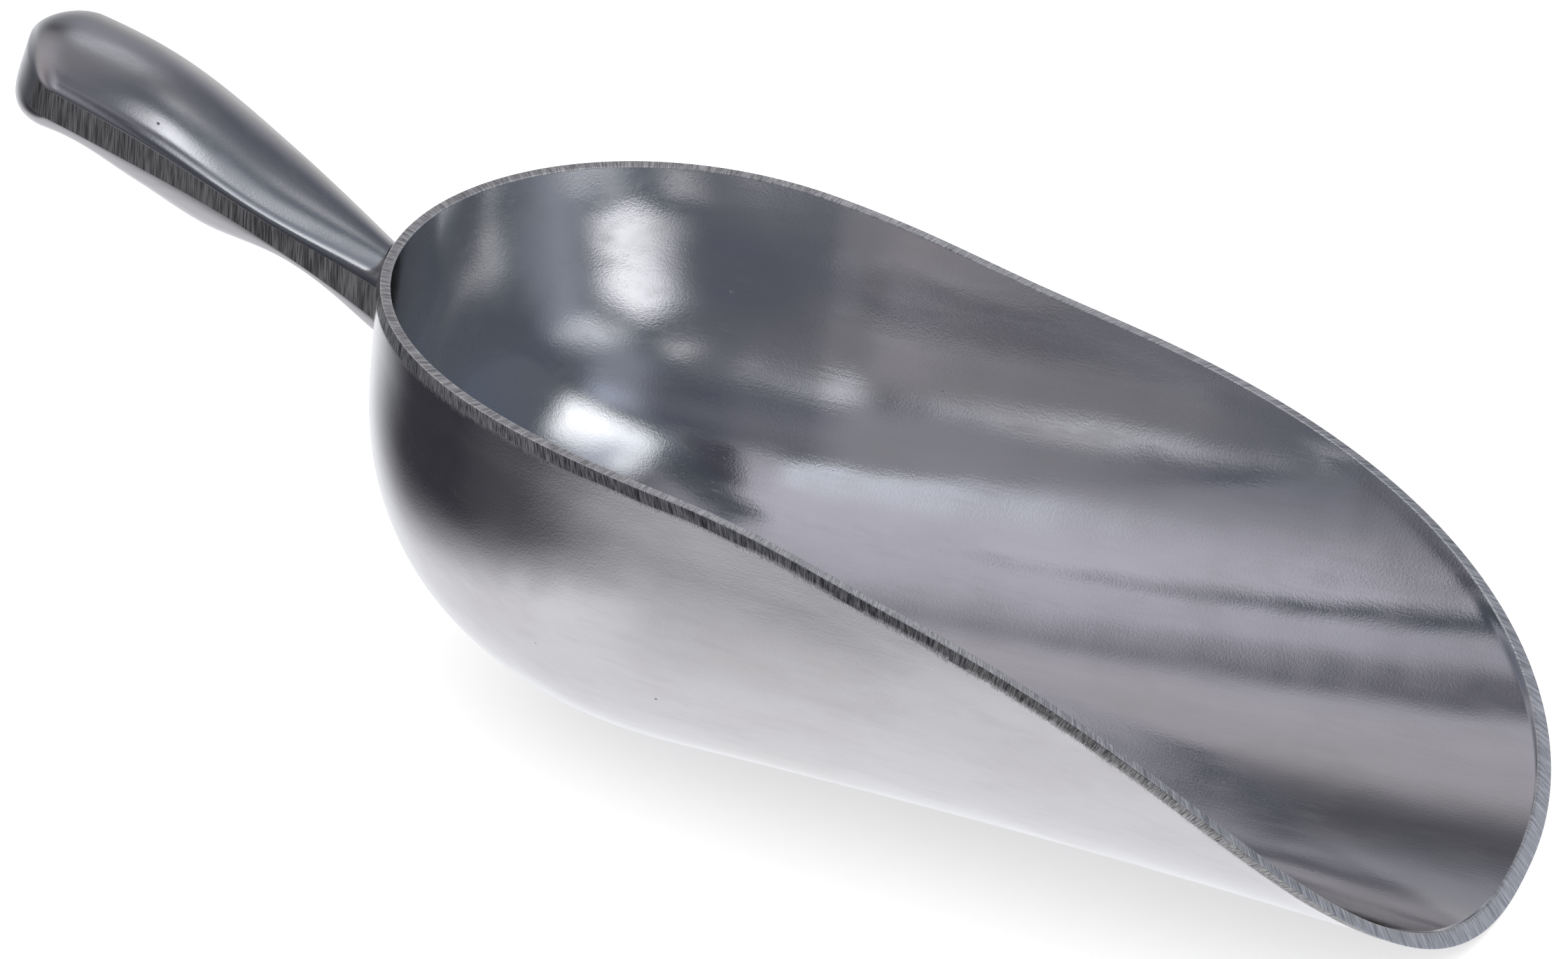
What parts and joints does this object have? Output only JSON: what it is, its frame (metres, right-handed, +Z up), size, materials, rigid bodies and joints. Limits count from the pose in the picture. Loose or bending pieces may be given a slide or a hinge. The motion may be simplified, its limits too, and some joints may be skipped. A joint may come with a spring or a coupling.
{
  "type": "ice scoop",
  "caption": "One-piece cast aluminium ice scoop: a deep round-backed bowl with a slanted mouth and ground rim, and a contoured handle rising from its back.",
  "frame": {"origin": "middle of the part's length and width, at the height of the bottom of the bowl", "axes": "+X runs along the bowl towards its mouth, +Z points up from the bottom of the bowl, +Y is to the left of +X"},
  "size_m": [0.3505, 0.1438, 0.1301],
  "materials": {
    "cast": "polished casting",
    "ground": "ground"
  },
  "bodies": {
    "root": {"bowl": "cast", "rim": "ground", "neck": "cast", "grip": "cast"}
  },
  "joints": []
}
